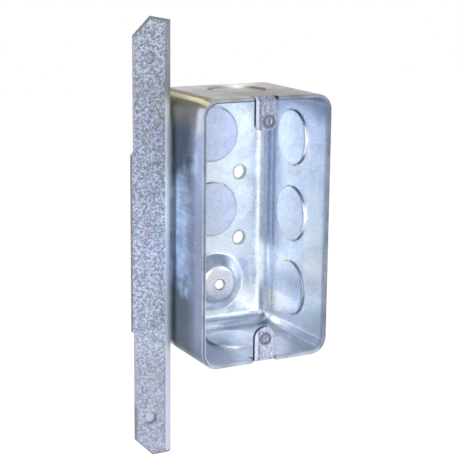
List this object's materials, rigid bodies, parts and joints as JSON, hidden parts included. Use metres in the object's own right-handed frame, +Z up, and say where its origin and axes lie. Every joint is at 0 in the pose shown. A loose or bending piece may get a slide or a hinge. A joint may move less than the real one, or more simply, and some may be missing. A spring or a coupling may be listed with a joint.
{
  "type": "handy box",
  "caption": "Drawn steel handy box with folded device ears, round knockouts, a raised ground boss and a long welded side bracket for fixing it to a stud",
  "frame": {"origin": "centre of the open mouth, in the plane of the rim, midway between the two device screw holes", "axes": "+X to the right as seen from the front, +Y from the mouth into the box, +Z up"},
  "size_m": [0.0709, 0.0476, 0.1706],
  "materials": {
    "box_zinc": "bright zinc coating with faint drawing marks",
    "bracket_zinc": "dull zinc coating with a coarse speckle"
  },
  "bodies": {
    "root": {"box_shell": "box_zinc", "mounting_bracket": "bracket_zinc"}
  },
  "joints": []
}
